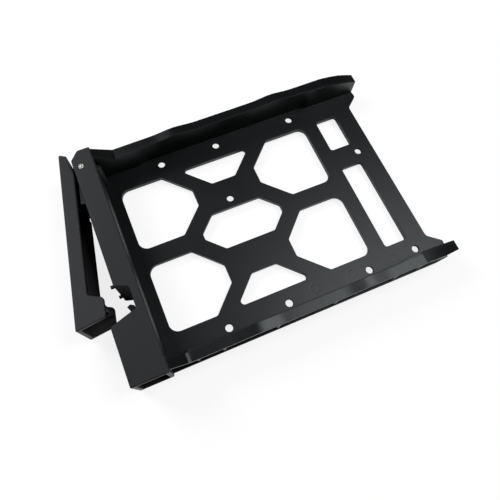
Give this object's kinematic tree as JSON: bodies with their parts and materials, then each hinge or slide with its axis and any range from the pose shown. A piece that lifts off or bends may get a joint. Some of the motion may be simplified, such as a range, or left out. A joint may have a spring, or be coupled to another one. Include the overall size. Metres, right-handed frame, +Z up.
{
  "type": "hot swap drive caddy",
  "caption": "Tray for a 3.5 inch drive with slide rails, a cut-out base plate and a front bezel whose hinged handle swings out and is held shut by a release latch",
  "frame": {"origin": "centre of the four outer 3.5 inch screw holes, on the upper face of the base plate where the drive sits", "axes": "-X is the front with the handle, +X runs into the server, +Y is the hinge side, +Z is up out of the tray"},
  "size_m": [0.1819, 0.1171, 0.0261],
  "materials": {
    "tray": "fine-grained black moulded plastic with a low sheen",
    "bezel": "matte dark grey moulded plastic",
    "handle": "matte dark grey moulded plastic",
    "pin": "plain bright steel",
    "spring": "drawn spring wire",
    "latch": "matte mid grey moulded plastic"
  },
  "bodies": {
    "tray": {"tray": "tray", "front_bezel": "bezel", "hinge_pin": "pin", "handle_spring": "spring", "latch_spring": "spring"},
    "handle": {"handle": "handle"},
    "latch": {"release_latch": "latch"}
  },
  "joints": [
    {"name": "handle_hinge", "type": "hinge", "parent": "tray", "child": "handle", "pos_m": [-0.0765, 0.0488, 0.00875], "axis": [0, 0, -1], "range_deg": [-9.9, 17], "stiffness_Nm_per_rad": 0.02, "deforming": ["handle_spring"]},
    {"name": "latch_slide", "type": "slide", "parent": "tray", "child": "latch", "axis": [0, -1, 0], "range_m": [0, 0.0025], "stiffness_N_per_m": 200, "springref_m": -0.003, "deforming": ["latch_spring"]}
  ]
}
